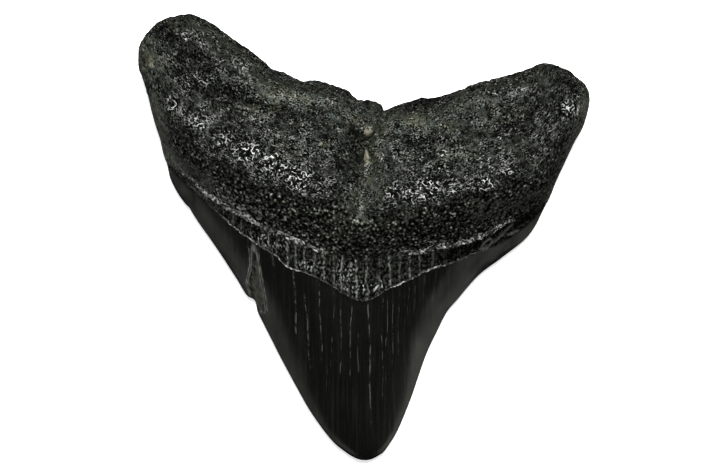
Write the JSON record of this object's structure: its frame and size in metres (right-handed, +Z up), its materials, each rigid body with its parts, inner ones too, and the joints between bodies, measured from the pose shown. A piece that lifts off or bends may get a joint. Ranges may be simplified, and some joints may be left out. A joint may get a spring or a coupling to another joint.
{
  "type": "megalodon tooth",
  "caption": "Fossil megalodon tooth lying on its labial face: a broad porous two-lobed root, a worn bourlette and a smooth triangular enamel crown with a chipped cutting edge.",
  "frame": {"origin": "middle of the tooth's footprint, on the surface that it lies on", "axes": "+X across the tooth towards the shorter root lobe, +Y from the crown's tip towards the root, +Z up from the labial face that it rests on to the domed lingual face"},
  "size_m": [0.075, 0.0742, 0.0178],
  "materials": {
    "fossil_tooth": "satin"
  },
  "bodies": {
    "root": {"tooth": "fossil_tooth"}
  },
  "joints": []
}
